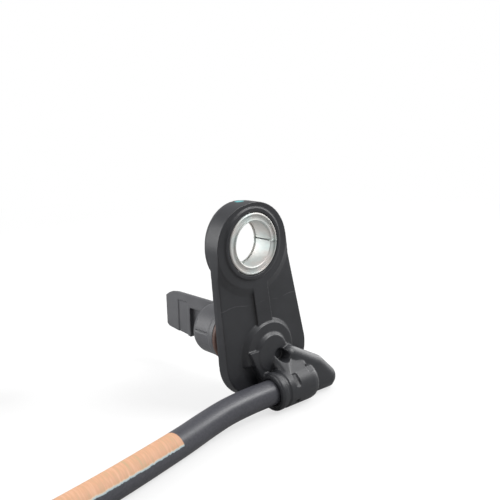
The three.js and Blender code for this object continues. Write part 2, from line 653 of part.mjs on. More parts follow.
function addCable() {
  addPiece('cable_lead', tube(curveThrough(leadPoints.map((p) => new THREE.Vector3(...p))), cableR, 20, 10), sheath);
  const outline = [[coilInner, 0], [coilOuter, 0], [coilOuter, 4 * cableR], [coilInner, 4 * cableR], [coilInner, 0]];
  const ring = new THREE.LatheGeometry(outline.map(([r, z]) => new THREE.Vector2(r, z)), 48);
  addPiece('cable_coil', solid(ring.rotateX(Math.PI / 2).translate(...COIL_CENTRE, floorZ)), sheath);
  addPiece('cable_tail', tube(curveThrough(tailPoints.map((p) => new THREE.Vector3(...p))), cableR, 4, 10), sheath);
}

// The band is open underneath, where its two ends lie against the turns
function coilTie() {
  const x = [COIL_CENTRE[0] - coilOuter - GAP - TIE_THICKNESS, COIL_CENTRE[0] - coilInner + GAP + TIE_THICKNESS];
  const y = [COIL_CENTRE[1] - TIE_WIDTH / 2, COIL_CENTRE[1] + TIE_WIDTH / 2];
  const inside = box([x[0] + TIE_THICKNESS, x[1] - TIE_THICKNESS], [y[0] - 1, y[1] + 1], [floorZ - 1, coilTop + GAP]);
  return cut(box(x, y, [floorZ, coilTop + GAP + TIE_THICKNESS]), inside);
}

// Plug, which lies beside the coil with its socket facing away from the cable
const housingStart = bootStart + BOOT_LENGTH - 3;
const housingEnd = housingStart + PLUG_LENGTH;
const socketFloor = housingEnd - SOCKET_DEPTH;

// Slot in the plug's side for the bar that locks the pins in place
function lockSlot() {
  const start = socketFloor - 1.6 - LOCK_THICKNESS;
  return {
    x: [start - FIT, start + LOCK_THICKNESS + FIT],
    y: tailY + PLUG_WIDTH / 2 - LOCK_DEPTH,
    z: [plugZ - LOCK_WIDTH / 2, plugZ + LOCK_WIDTH / 2],
  };
}

function plugHousing() {
  const outside = slabX(roundedRectangle(PLUG_WIDTH, PLUG_HEIGHT, PLUG_CORNER), housingStart, housingEnd, tailY, plugZ);
  const latch = new THREE.Shape();
  const top = plugZ + PLUG_HEIGHT / 2;
  const start = socketFloor + LATCH_PLACE;
  latch.moveTo(start, top - 0.3);
  latch.lineTo(start + LATCH_LENGTH, top - 0.3);
  latch.lineTo(start + LATCH_LENGTH, top + 0.3);
  latch.lineTo(start + 0.8, top + LATCH_HEIGHT);
  latch.lineTo(start, top + LATCH_HEIGHT);
  latch.closePath();
  const ramp = slabY(latch, tailY - LATCH_WIDTH / 2, tailY + LATCH_WIDTH / 2);
  const socket = slabX(
    roundedRectangle(SOCKET_WIDTH, SOCKET_HEIGHT, SOCKET_CORNER), socketFloor, housingEnd + 1, tailY, plugZ
  );
  const cableEntry = rodX(BOOT_WIDE / 2 + FIT, housingStart - 1, bootStart + BOOT_LENGTH + FIT, tailY, plugZ, 24);
  const wireRoom = box(
    [housingStart + 2, socketFloor - 1.6], [tailY - PIN_PITCH / 2 - 1.6, tailY + PIN_PITCH / 2 + 1.6],
    [plugZ - 1.6, plugZ + 1.6]
  );
  const pinHoles = [-1, 1].map((side) =>
    box(
      [socketFloor - 3, socketFloor + 1],
      [tailY + (side * PIN_PITCH - PIN_WIDTH) / 2 - FIT, tailY + (side * PIN_PITCH + PIN_WIDTH) / 2 + FIT],
      [plugZ - PIN_THICKNESS / 2 - FIT, plugZ + PIN_THICKNESS / 2 + FIT]
    )
  );
  const slot = lockSlot();
  const lockHole = box(slot.x, [slot.y, tailY + PLUG_WIDTH], slot.z);
  return cut(join(outside, ramp), socket, cableEntry, wireRoom, lockHole, ...pinHoles);
}

function addPlug() {
  const [narrow, wide, end] = [BOOT_NARROW / 2, BOOT_WIDE / 2, bootStart + BOOT_LENGTH];
  const boot = turnedX(
    [[0, bootStart], [narrow, bootStart], [wide, end - 3.4], [wide, end], [0, end]], tailY, plugZ, 24
  );
  const wireHoles = [-1, 1].map((side) =>
    rodX(CORE_DIAMETER / 2 + FIT, bootStart + BOOT_LENGTH - 2.5, end + 1, tailY + (side * PLUG_CORE_PITCH) / 2, plugZ, 12)
  );
  addPiece('plug_boot', cut(boot, ...wireHoles), bootRubber);
  addPiece('plug_housing', plugHousing(), plugPlastic);
  const sealOutside = roundedRectangle(SOCKET_WIDTH - 2 * FIT, SOCKET_HEIGHT - 2 * FIT, SOCKET_CORNER - FIT);
  const sealInside = roundedRectangle(
    SOCKET_WIDTH - 2 * PLUG_SEAL_THICKNESS, SOCKET_HEIGHT - 2 * PLUG_SEAL_THICKNESS, SOCKET_CORNER / 2
  );
  const seal = cut(
    slabX(sealOutside, socketFloor, socketFloor + PLUG_SEAL_LENGTH, tailY, plugZ),
    slabX(sealInside, socketFloor - 1, socketFloor + PLUG_SEAL_LENGTH + 1, tailY, plugZ)
  );
  addPiece('plug_seal', seal, sealRubber);
  const lock = lockSlot();
  addPiece(
    'plug_lock',
    box([lock.x[0] + FIT, lock.x[1] - FIT], [lock.y, tailY + PLUG_WIDTH / 2 + LOCK_PROUD], [lock.z[0] + FIT, lock.z[1] - FIT]),
    lockPlastic
  );
  [-1, 1].forEach((side, i) => {
    const letter = i === 0 ? 'a' : 'b';
    const y = tailY + (side * PIN_PITCH) / 2;
    addPiece(
      `plug_pin_${letter}`,
      box(
        [socketFloor - PIN_TAIL, socketFloor + PIN_REACH],
        [y - PIN_WIDTH / 2, y + PIN_WIDTH / 2], [plugZ - PIN_THICKNESS / 2, plugZ + PIN_THICKNESS / 2]
      ),
      tinned
    );
  });
}

addPiece('flange_body', flangeBody(), blackPlastic);
addPiece('fixing_bush', fixingBush(), zinc);
addNosePieces();
addCores();
addCable();
addPiece('coil_tie', coilTie(), tiePlastic);
addPlug();

export default sensor;
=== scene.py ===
"""Wheel speed sensor with its nose, flange, elbow, lead and plug, built piece by piece."""

import bpy
import math
from mathutils import Matrix, Vector


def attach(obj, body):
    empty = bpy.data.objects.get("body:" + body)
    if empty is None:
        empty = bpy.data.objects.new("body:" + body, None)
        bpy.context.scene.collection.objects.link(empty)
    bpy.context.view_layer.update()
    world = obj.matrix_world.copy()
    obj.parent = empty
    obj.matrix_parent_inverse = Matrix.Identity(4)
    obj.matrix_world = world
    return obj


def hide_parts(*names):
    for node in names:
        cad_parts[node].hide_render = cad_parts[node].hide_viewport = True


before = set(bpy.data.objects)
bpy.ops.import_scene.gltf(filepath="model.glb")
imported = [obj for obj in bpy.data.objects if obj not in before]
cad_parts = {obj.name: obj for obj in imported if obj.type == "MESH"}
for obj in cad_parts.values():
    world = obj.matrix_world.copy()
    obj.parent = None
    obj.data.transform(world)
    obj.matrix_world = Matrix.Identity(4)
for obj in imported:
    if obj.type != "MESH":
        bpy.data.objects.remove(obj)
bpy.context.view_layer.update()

# Camera
# It stands on the cable's side of the sensor, a little above it, and leans slightly to one side.
CAMERA_PLACE = (-0.08228, -0.09509, 0.03030)
CAMERA_TURN = math.radians(-41.64)
CAMERA_DIP = math.radians(11.49)
CAMERA_ROLL = math.radians(-1.37)
camera = bpy.data.objects.new("camera", bpy.data.cameras.new("camera"))
bpy.context.scene.collection.objects.link(camera)
camera.data.sensor_width = 36
camera.data.lens = 50.4
camera.data.clip_start = 0.005
camera.matrix_world = (
    Matrix.Translation(CAMERA_PLACE)
    @ Matrix.Rotation(CAMERA_TURN, 4, "Z")
    @ Matrix.Rotation(math.pi / 2 - CAMERA_DIP, 4, "X")
    @ Matrix.Rotation(CAMERA_ROLL, 4, "Z")
)
bpy.context.scene.camera = camera

# Floor
# A pale table top that keeps the sensor's shadow, with a plain white world round it.
# Away from the camera's own rays it is greyer, so that it throws less light up at the sensor.
FLOOR_Z = -0.02435


class Value:
    """A socket that does shader maths with the usual operators."""

    def __init__(self, tree, socket):
        self.tree, self.socket = tree, socket

    def maths(self, operation, *others):
        return Nodes(self.tree).add("ShaderNodeMath", {"operation": operation}, 0, self, *others)

    def __add__(self, other):
        return self.maths("ADD", other)

    def __radd__(self, other):
        return self.maths("ADD", other)

    def __sub__(self, other):
        return self.maths("SUBTRACT", other)

    def __mul__(self, other):
        return self.maths("MULTIPLY", other)


class Nodes:
    """Adds nodes to a material's tree."""

    def __init__(self, tree):
        self.tree = tree

    def add(self, kind, settings=None, output=0, *inputs, **named):
        node = self.tree.nodes.new(kind)
        for name, setting in (settings or {}).items():
            if name == "stops":
                ramp = node.color_ramp.elements
                while len(ramp) < len(setting):
                    ramp.new(0.5)
                for stop, (place, colour) in zip(ramp, setting):
                    stop.position = place
                    stop.color = (*colour, 1)
            else:
                setattr(node, name, setting)
        for key, value in [*enumerate(inputs), *named.items()]:
            if isinstance(key, str):
                key = key.replace("_", " ")
            if value is None:
                continue
            if isinstance(value, Value):
                self.tree.links.new(value.socket, node.inputs[key])
            elif isinstance(value, (tuple, list)) and len(value) == 3 and node.inputs[key].type == "RGBA":
                node.inputs[key].default_value = (*value, 1)
            else:
                node.inputs[key].default_value = value
        return None if output is None else Value(self.tree, node.outputs[output])

    def mix(self, share, first, second):
        """Mixes two colours, which are the seventh and eighth inputs of the mix node."""
        between = [None] * 5
        return self.add("ShaderNodeMix", {"data_type": "RGBA"}, 2, share, *between, first, second)

    def noise(self, place, scale, detail):
        """A noise pattern, given as a value round one half."""
        return self.add("ShaderNodeTexNoise", None, 0, place, Scale=scale, Detail=detail)

    def ramp(self, share, *stops):
        """Colours that follow a value through its stops."""
        return self.add("ShaderNodeValToRGB", {"stops": stops}, 0, share)

    def rise(self, value, start, end, kind="LINEAR"):
        """Runs from 0 to 1 while a value passes from start to end."""
        return self.add("ShaderNodeMapRange", {"interpolation_type": kind}, 0, value, start, end)

    def surface(self, **inputs):
        """The surface itself, joined to the material's output."""
        look = self.add("ShaderNodeBsdfPrincipled", None, 0, **inputs)
        self.add("ShaderNodeOutputMaterial", None, None, look)


def blank(name):
    """A new material with an empty tree, and the place on the piece that its patterns follow."""
    material = bpy.data.materials.new(name)
    material.use_nodes = True
    material.node_tree.nodes.clear()
    tree = Nodes(material.node_tree)
    return material, tree, tree.add("ShaderNodeTexCoord", None, "Object")


floor_material, paper, place = blank("pale_floor")
matt = paper.add("ShaderNodeBsdfDiffuse", None, 0, (0.35, 0.35, 0.35))
pale = paper.add("ShaderNodeBsdfDiffuse", None, 0, (0.85, 0.85, 0.85))
white = paper.add("ShaderNodeEmission", None, 0, (1, 1, 1), 1.0)
distance = paper.add("ShaderNodeVectorMath", {"operation": "LENGTH"}, 1, place)
far = paper.rise(distance, 0.08, 0.3, "SMOOTHSTEP")
table = paper.add("ShaderNodeMixShader", None, 0, far * 0.3 + 0.7, pale, white)
seen = paper.add("ShaderNodeLightPath", None, "Is Camera Ray")
floor_look = paper.add("ShaderNodeMixShader", None, 0, seen, matt, table)
paper.add("ShaderNodeOutputMaterial", None, None, floor_look)

bpy.ops.mesh.primitive_plane_add(size=4, location=(0, 0, FLOOR_Z))
floor = bpy.context.object
floor.name = "floor"
floor.data.materials.append(floor_material)

world = bpy.data.worlds.new("white_room")
bpy.context.scene.world = world
world.use_nodes = True
world.node_tree.nodes.clear()
room = Nodes(world.node_tree)
camera_ray = room.add("ShaderNodeLightPath", None, "Is Camera Ray")
glossy_ray = room.add("ShaderNodeLightPath", None, "Is Glossy Ray")
fill = room.add("ShaderNodeBackground", None, 0, (1, 1, 1), 0.15)
mirrored = room.add("ShaderNodeBackground", None, 0, (1, 1, 1), 0.42)
bright = room.add("ShaderNodeBackground", None, 0, (1, 1, 1), 1.0)
unseen = room.add("ShaderNodeMixShader", None, 0, glossy_ray, fill, mirrored)
sky = room.add("ShaderNodeMixShader", None, 0, camera_ray, unseen, bright)
room.add("ShaderNodeOutputWorld", None, None, sky)

bpy.context.scene.view_settings.view_transform = "Standard"

# Lamps
# Four soft panels stand for a light tent: one to the left, one overhead and two to the right.
for name, place, aim, size, power in (
    ("side_panel", (-0.37, 0.19, 0.17), (0, 0, -0.01), 0.42, 2.7),
    ("top_panel", (0.05, -0.03, 0.50), (0, 0, -0.01), 0.4, 0.6),
    ("right_panel", (0.18, -0.23, 0.33), (-0.01, 0, -0.02), 0.22, 1.6),
    ("low_right_panel", (0.38, 0.03, 0.16), (0, 0, -0.01), 0.35, 1.4),
):
    panel = bpy.data.objects.new(name, bpy.data.lights.new(name, "AREA"))
    bpy.context.scene.collection.objects.link(panel)
    panel.data.shape = "SQUARE"
    panel.data.size = size
    panel.data.energy = power
    panel.location = place
    panel.rotation_euler = (Vector(aim) - Vector(place)).to_track_quat("-Z", "Y").to_euler()

# Lead
# A black plastic sheath round two cores, extruded, with a tan coating on one stretch of its upper side.
# It leaves the ferrule square to the nose, runs along the table and lies in a tied coil.
LEAD_RADIUS = 0.00235
LEAD_Z = FLOOR_Z + LEAD_RADIUS
COIL_X, COIL_Y = -0.097, 0.00995
COIL_INSIDE, COIL_OUTSIDE = 0.02365, 0.02835
MOUTH = (-0.00004, -0.00745, -0.0208)
TAIL_Y = COIL_Y + COIL_OUTSIDE
PLUG_Z = FLOOR_Z + 0.0062
TURN_STEPS, TURNS = 48, 3.5


def smooth(x):
    """Eases from 0 to 1."""
    x = min(max(x, 0), 1)
    return x * x * (3 - 2 * x)


lead_points = [(0.00266, MOUTH[1], MOUTH[2]), MOUTH]
for x, y, drop in (
    (-5.46, -0.01, 0.04), (-10.66, -0.2, 0.25), (-15.96, -0.95, 0.62), (-21.26, -2.1, 0.92),
    (-26.46, -3.35, 1), (-32.06, -4.75, 1), (-37.46, -6, 1), (-43.46, -7.25, 1), (-50.46, -8.55, 1),
    (-58.46, -9.75, 1), (-66.46, -10.6, 1), (-73.96, -10.9, 1),
):
    lead_points.append((MOUTH[0] + x / 1000, MOUTH[1] + y / 1000, MOUTH[2] + (LEAD_Z - MOUTH[2]) * drop))
lead_points += [(COIL_X + x, COIL_Y - COIL_OUTSIDE, LEAD_Z) for x in (0.0176, 0.009)]
for i in range(int(TURNS * TURN_STEPS) + 1):
    turn = i / TURN_STEPS
    inside = smooth((turn - 0.7) / 0.28) - smooth((turn - 2.7) / 0.28)
    level = smooth((turn - 1.72) / 0.26)
    radius = COIL_OUTSIDE + (COIL_INSIDE - COIL_OUTSIDE) * inside
    angle = -math.pi / 2 - 2 * math.pi * turn
    lead_points.append((
        COIL_X + radius * math.cos(angle), COIL_Y + radius * math.sin(angle), LEAD_Z + 2 * LEAD_RADIUS * level
    ))
lead_points += [(COIL_X + x, TAIL_Y, LEAD_Z + 2 * LEAD_RADIUS) for x in (0.009, 0.0176)]
lead_points += [(COIL_X + 0.0206, TAIL_Y, -0.01745), (COIL_X + 0.0226, TAIL_Y, PLUG_Z + 0.0001)]
lead_points.append((-0.0717, TAIL_Y, PLUG_Z))

# A spline through the points, cut finely, gives the smooth line that the sheath follows.
lead_route = []
for i in range(len(lead_points) - 1):
    before = Vector(lead_points[max(i - 1, 0)])
    start, end = Vector(lead_points[i]), Vector(lead_points[i + 1])
    after = Vector(lead_points[min(i + 2, len(lead_points) - 1)])
    steps = max(1, round((end - start).length / 0.0015))
    for j in range(steps):
        t = j / steps
        lead_route.append(0.5 * (
            2 * start + (end - before) * t
            + (2 * before - 5 * start + 4 * end - after) * t ** 2
            + (3 * start - before - 3 * end + after) * t ** 3
        ))
lead_route.append(Vector(lead_points[-1]))
lead_length = sum((b - a).length for a, b in zip(lead_route, lead_route[1:]))

bpy.ops.object.select_all(action="DESELECT")
lead_curve = bpy.data.curves.new("lead", "CURVE")
lead_curve.dimensions = "3D"
spline = lead_curve.splines.new("POLY")
spline.points.add(len(lead_route) - 1)
for point, place in zip(spline.points, lead_route):
    point.co = (*place, 1)
lead_curve.bevel_depth = LEAD_RADIUS
lead_curve.bevel_resolution = 10
lead_curve.use_fill_caps = True
lead = bpy.data.objects.new("lead", lead_curve)
bpy.context.scene.collection.objects.link(lead)
lead.select_set(True)
bpy.context.view_layer.objects.active = lead
bpy.ops.object.convert(target="MESH")
bpy.ops.object.shade_smooth()

# The coating starts and stops square across the sheath, and its lower edge is ragged and pale.
lead_look, sheath, place = blank("black_sheath")
COAT_START, COAT_END = 0.0255, 0.0584
COAT_FOOT = LEAD_Z + 0.0005
height = sheath.add("ShaderNodeSeparateXYZ", None, 2, place)
along = sheath.add("ShaderNodeVectorMath", {"operation": "DOT_PRODUCT"}, 1, place, (-0.972, -0.234, 0))
fine = sheath.add("ShaderNodeMapping", None, 0, place, None, None, (2600, 260, 260))
strokes = sheath.noise(fine, 1.0, 3.0)
patches = sheath.noise(place, 380.0, 2.0)
speckle = sheath.noise(place, 2600.0, 2.0)
edge = height - strokes * 0.0004 - patches * 0.0001 - (along - COAT_START) * 0.011 - COAT_FOOT
started = sheath.rise(along, COAT_START - 0.0001, COAT_START + 0.0001)
started = started * sheath.rise(along, COAT_END + 0.0001, COAT_END - 0.0001)
under = sheath.rise(edge, 0.0, 0.00008) * started
over = sheath.rise(edge, 0.00014, 0.00048, "SMOOTHSTEP")
black = sheath.ramp(speckle, (0.3, (0.050, 0.051, 0.060)), (0.7, (0.068, 0.069, 0.080)))
tan = sheath.ramp(
    strokes * 0.75 + patches * 0.25,
    (0.32, (0.50, 0.34, 0.20)), (0.5, (0.60, 0.33, 0.20)), (0.68, (0.66, 0.39, 0.25)),
)
fringe = sheath.ramp(over, (0.0, (0.40, 0.50, 0.52)), (0.5, (0.66, 0.67, 0.56)), (1.0, (0.74, 0.60, 0.38)))
lead_colour = sheath.mix(under, black, sheath.mix(over, fringe, tan))
lead_bump = sheath.add("ShaderNodeBump", None, 0, 0.15, 0.00002, None, speckle)
sheath.surface(Base_Color=lead_colour, Roughness=0.34 + under * 0.3, Normal=lead_bump, Specular_IOR_Level=0.5)
lead.data.materials.append(lead_look)
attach(lead, "root")
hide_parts("cable_lead", "cable_coil", "cable_tail")

# Flange
# One black plastic moulding: a boss round the fixing bush, a plate, a rib, a round pad with a stub on it,
# and the elbow and ferrule that turn the lead square to the nose. Its edges are softly rounded by the mould.
BUSH_X, BUSH_Z = -0.000998, 0.006676
NOSE_X, NOSE_Z = 0.001921, -0.012857
BUSH_OUTER = 0.0056
BOSS_FACE, BOSS_RADIUS, BOSS_SIDE, BOSS_DROP = -0.0045, 0.0076, 0.0006, 0.0003
SEAT_RADIUS, BOSS_CHAMFER = 0.00735, 0.001
PLATE_BACK, PLATE_FRONT = -0.002, -0.004
CORNER_RADIUS, CORNER_NEAR_BACK, CORNER_DROP = 0.0071, 0.0075, 0.00195
CORNER_NEAR, CORNER_FAR = -0.00215, 0.00355
SKIRT_TOP, SKIRT_FOOT = 0.008, 0.0096
RIM_RADIUS, RIM_HEIGHT, RIM_EDGE = 0.0065, 0.0003, 0.0001
RIB_LEFT, RIB_RIGHT, RIB_HEIGHT = 0.0014, 0.0022, 0.0005
RIB_TOP, RIB_FOOT = 0.006, 0.019
PAD_Z = NOSE_Z - 0.00145
PAD_X = NOSE_X + 0.0005
PAD_RADIUS, PAD_TAPER, PAD_CUT = 0.0064, 0.00075, 0.0015
PAD_FACE = PLATE_FRONT - 0.00095
STUB_RADIUS, STUB_TAPER = 0.004, 0.0006
STUB_FACE = PAD_FACE - 0.0007
SINK = 0.0002


def turned(rings, origin, direction, sides=96):
    """A disc extruded along a direction. Each ring has its distance from the origin and its radius."""
    origin, direction = Vector(origin), Vector(direction).normalized()
    bpy.ops.object.select_all(action="DESELECT")
    bpy.ops.mesh.primitive_circle_add(
        vertices=sides, radius=rings[0][1], fill_type="NGON", location=origin + direction * rings[0][0],
        rotation=direction.to_track_quat("Z", "Y").to_euler(),
    )
    bpy.ops.object.mode_set(mode="EDIT")
    bpy.ops.mesh.select_all(action="SELECT")
    for (reach, radius), (last_reach, last_radius) in zip(rings[1:], rings):
        bpy.ops.mesh.extrude_region_move(TRANSFORM_OT_translate={"value": direction * (reach - last_reach)})
        if radius != last_radius:
            centre = origin + direction * reach
            bpy.ops.transform.resize(value=(radius / last_radius,) * 3, center_override=centre)
    bpy.ops.mesh.select_all(action="SELECT")
    bpy.ops.mesh.normals_make_consistent(inside=False)
    bpy.ops.object.mode_set(mode="OBJECT")
    bpy.ops.object.transform_apply()
    return bpy.context.object


def block(low, high, turn=0, about=(0, 0)):
    """A box between two corners, turned about a line along Y where it leans."""
    low, high = Vector(low), Vector(high)
    bpy.ops.object.select_all(action="DESELECT")
    bpy.ops.mesh.primitive_cube_add(size=1, location=(low + high) / 2, scale=high - low)
    bpy.ops.object.transform_apply()
    if turn:
        bpy.context.object.data.transform(
            Matrix.Translation((about[0], 0, about[1])) @ Matrix.Rotation(turn, 4, "Y")
            @ Matrix.Translation((-about[0], 0, -about[1]))
        )
    return bpy.context.object


def hull(*shapes):
    """The tightest skin round several shapes."""
    bpy.ops.object.select_all(action="DESELECT")
    for each in shapes:
        each.select_set(True)
    bpy.context.view_layer.objects.active = shapes[0]
    bpy.ops.object.join()
    bpy.ops.object.mode_set(mode="EDIT")
    bpy.ops.mesh.select_all(action="SELECT")
    bpy.ops.mesh.convex_hull()
    bpy.ops.object.mode_set(mode="OBJECT")
    return bpy.context.object


def work(piece, tool, operation):
    """Joins a shape to a piece, or cuts the piece with it, and takes the shape away."""
    change = piece.modifiers.new("work", "BOOLEAN")
    change.operation = operation
    change.solver = "MANIFOLD"
    change.object = tool
    bpy.context.view_layer.objects.active = piece
    bpy.ops.object.modifier_apply(modifier=change.name)
    bpy.data.objects.remove(tool)


def cut(piece, *tools):
    """Cuts shapes out of a piece, one after another."""
    for tool in tools:
        work(piece, tool, "DIFFERENCE")


def soften(piece, grain, rounds, share):
    """Rounds every edge a little, as a mould does, and thins the mesh where it is flat."""
    bpy.ops.object.select_all(action="DESELECT")
    piece.select_set(True)
    bpy.context.view_layer.objects.active = piece
    for kind, settings in (
        ("REMESH", {"mode": "VOXEL", "voxel_size": grain}),
        ("SMOOTH", {"factor": 0.5, "iterations": rounds}),
        ("DECIMATE", {"ratio": share}),
    ):
        change = piece.modifiers.new(kind.lower(), kind)
        for name, setting in settings.items():
            setattr(change, name, setting)
        bpy.ops.object.modifier_apply(modifier=change.name)
    bpy.ops.object.shade_smooth()


def ride_root(piece, name, look, node):
    """Names a finished piece, gives it its finish and fixes it to the sensor."""
    piece.name = piece.data.name = name
    piece.data.materials.clear()
    piece.data.materials.append(look)
    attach(piece, "root")
    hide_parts(node)


TO_NOSE = (0, 1, 0)
TO_LEAD = (0, -1, 0)
ALONG_X = (1, 0, 0)
bush_at = (BUSH_X, 0, BUSH_Z)
pad_at = (PAD_X, 0, PAD_Z)
lean = math.atan2(NOSE_X - BUSH_X, BUSH_Z - NOSE_Z)


def boss_discs(y0, y1):
    """Two discs that span the boss: it is wider than it is tall, and leans with the flange."""
    down = Vector((math.sin(lean), 0, -math.cos(lean)))
    beside = Vector((math.cos(lean), 0, math.sin(lean)))
    centre = Vector(bush_at) + down * BOSS_DROP
    return [
        turned([(y0, BOSS_RADIUS), (y1, BOSS_RADIUS)], centre + beside * side, TO_NOSE, 128)
        for side in (BOSS_SIDE, -BOSS_SIDE)
    ]


def plate(y0, y1):
    """The flange's outline: the boss and two round lower corners, with straight sides between them."""
    corners = [
        turned([(y0, CORNER_RADIUS), (y1, back)], (NOSE_X + side, 0, NOSE_Z - CORNER_DROP), TO_NOSE, 128)
        for side, back in ((CORNER_NEAR, CORNER_NEAR_BACK), (CORNER_FAR, CORNER_RADIUS))
    ]
    return hull(*boss_discs(y0, y1), *corners)


flange = plate(PLATE_FRONT, PLATE_BACK)
boss = hull(
    turned([(-BOSS_CHAMFER, SEAT_RADIUS), (0, SEAT_RADIUS)], bush_at, TO_NOSE, 128),
    *boss_discs(BOSS_FACE, -BOSS_CHAMFER),
)
work(flange, boss, "UNION")
skirt = plate(BOSS_FACE, PLATE_BACK)
cone = turned(
    [(-BOSS_FACE, SKIRT_TOP), (-PLATE_FRONT, SKIRT_FOOT), (-PLATE_BACK, SKIRT_FOOT)], bush_at, TO_LEAD, 128
)
work(skirt, cone, "INTERSECT")
work(flange, skirt, "UNION")
rim_face = RIM_HEIGHT - BOSS_FACE
rim = turned(
    [(0.003, RIM_RADIUS), (rim_face - RIM_EDGE, RIM_RADIUS), (rim_face, RIM_RADIUS - RIM_EDGE)],
    bush_at, TO_LEAD,
)
work(flange, rim, "UNION")
rib = block(
    (BUSH_X - RIB_LEFT, PLATE_FRONT - RIB_HEIGHT, BUSH_Z - RIB_FOOT),
    (BUSH_X + RIB_RIGHT, PLATE_BACK - SINK, BUSH_Z - RIB_TOP), -lean, (BUSH_X, BUSH_Z),
)
work(flange, rib, "UNION")
pad = turned(
    [(0.003, PAD_RADIUS), (-PLATE_FRONT, PAD_RADIUS), (-PAD_FACE, PAD_RADIUS - PAD_TAPER)], pad_at, TO_LEAD
)
cut(pad, block((-0.01, -0.006, -0.03), (0.02, PLATE_FRONT - 0.0001, PAD_Z - PAD_CUT)))
work(flange, pad, "UNION")
stub = turned(
    [(0.004, STUB_RADIUS), (-PAD_FACE, STUB_RADIUS), (-STUB_FACE, STUB_RADIUS - STUB_TAPER)], pad_at, TO_LEAD
)
work(flange, stub, "UNION")

# Elbow
# The part of the moulding that holds the lead below the pad: a flat neck, a shoulder, a toe that runs out
# to the right, and the ferrule, a barrel with a groove near its mouth and a round heel.
HEEL = MOUTH[0] + 0.0083
HEEL_RADIUS = 0.0026
FERRULE_RADIUS, FERRULE_GROOVE, FERRULE_EDGE = 0.00355, 0.00333, 0.0003
NECK_HEIGHT, NECK_LEFT, NECK_RIGHT, NECK_RISE, NECK_END = 0.00155, 0.0051, 0.0042, 0.0012, 0.001
SHOULDER_RADIUS, SHOULDER_FACE = 0.0019, 0.00585
CHEEK_RADIUS, CHEEK_FACE = 0.0015, 0.0056
TOE_RADIUS, TOE_REACH, TOE_RISE, TOE_TIP = 0.0022, 0.01705, 0.0028, 0.0011
TOE_LEAN, TOE_LIFT = 0.0004, 0.0004
RECESS_FLOOR, RECESS_RADIUS = 0.00505, 0.00115
neck_outline = (
    (NOSE_X - NECK_LEFT, PAD_Z + NECK_RISE), (NOSE_X + NECK_RIGHT, PAD_Z + NECK_RISE),
    (HEEL, MOUTH[2] + NECK_END), (HEEL, MOUTH[2] - NECK_END),
    (MOUTH[0] + SINK, MOUTH[2] - NECK_END), (MOUTH[0] + SINK, MOUTH[2] + NECK_END),
)
bpy.ops.object.select_all(action="DESELECT")
bpy.ops.mesh.primitive_circle_add(vertices=len(neck_outline), radius=0.005, fill_type="NGON")
neck = bpy.context.object
for corner, (x, z) in zip(neck.data.vertices, neck_outline):
    corner.co = (x, PLATE_FRONT + SINK, z)
bpy.ops.object.mode_set(mode="EDIT")
bpy.ops.mesh.select_all(action="SELECT")
bpy.ops.mesh.extrude_region_move(TRANSFORM_OT_translate={"value": (0, -NECK_HEIGHT - SINK, 0)})
bpy.ops.mesh.select_all(action="SELECT")
bpy.ops.mesh.normals_make_consistent(inside=False)
bpy.ops.object.mode_set(mode="OBJECT")
work(flange, neck, "UNION")


def ball(x, y, z, radius=TOE_RADIUS):
    """A ball that rounds one end of the toe."""
    bpy.ops.object.select_all(action="DESELECT")
    bpy.ops.mesh.primitive_uv_sphere_add(segments=48, ring_count=24, radius=radius, location=(x, y, z))
    bpy.ops.object.transform_apply()
    return bpy.context.object


def post(x, z, radius, face):
    """A round post that stands on the plate."""
    return turned([(-PLATE_FRONT - SINK, radius), (face, radius)], (x, 0, z), TO_LEAD)


shoulder_x, shoulder_z = NOSE_X + 0.0042, PAD_Z - 0.0012
shoulder = hull(
    post(shoulder_x, shoulder_z, SHOULDER_RADIUS, SHOULDER_FACE),
    post(NOSE_X + 0.0016, PAD_Z - 0.0018, CHEEK_RADIUS, CHEEK_FACE),
    turned([(0.003, FERRULE_GROOVE), (0.0083, FERRULE_GROOVE)], MOUTH, ALONG_X),
)
work(flange, shoulder, "UNION")
toe_x = MOUTH[0] + TOE_REACH - TOE_RADIUS
toe_y = MOUTH[1] + TOE_LEAN
toe_z = FLOOR_Z + TOE_RADIUS + TOE_LIFT
toe = hull(
    ball(toe_x, toe_y, toe_z),
    ball(toe_x - TOE_RISE, toe_y + TOE_LEAN, toe_z + TOE_RISE),
    ball(HEEL, toe_y, toe_z),
    ball(toe_x + TOE_RADIUS - TOE_TIP, toe_y, FLOOR_Z + TOE_TIP + 0.0001, TOE_TIP),
    ball(shoulder_x, PLATE_FRONT - 0.002 + SINK, shoulder_z, SHOULDER_RADIUS),
)
work(flange, toe, "UNION")
recess_at = (NOSE_X + 0.0021, 0, PAD_Z - 0.0006)
cut(flange, turned([(RECESS_FLOOR, RECESS_RADIUS), (0.009, RECESS_RADIUS)], recess_at, TO_LEAD))
heel_rings = [
    (HEEL - MOUTH[0] + HEEL_RADIUS * math.sin(a), FERRULE_RADIUS * math.cos(a))
    for a in (0, 0.26, 0.52, 0.78, 1.04, 1.26)
]
ferrule = turned(
    [
        (0, FERRULE_RADIUS - FERRULE_EDGE), (FERRULE_EDGE, FERRULE_RADIUS), (0.0012, FERRULE_RADIUS),
        (0.00135, FERRULE_GROOVE), (0.00195, FERRULE_GROOVE), (0.0021, FERRULE_RADIUS), *heel_rings,
    ],
    MOUTH, ALONG_X,
)
work(flange, ferrule, "UNION")


def dimple(x0, x1, angle, width, depth):
    """A shallow pocket in the ferrule, at an angle above its near side."""
    pocket = block((x0, -width / 2, FERRULE_RADIUS - depth), (x1, width / 2, 0.0065))
    pocket.data.transform(Matrix.Translation(MOUTH) @ Matrix.Rotation(math.radians(90 - angle), 4, "X"))
    cut(flange, pocket)


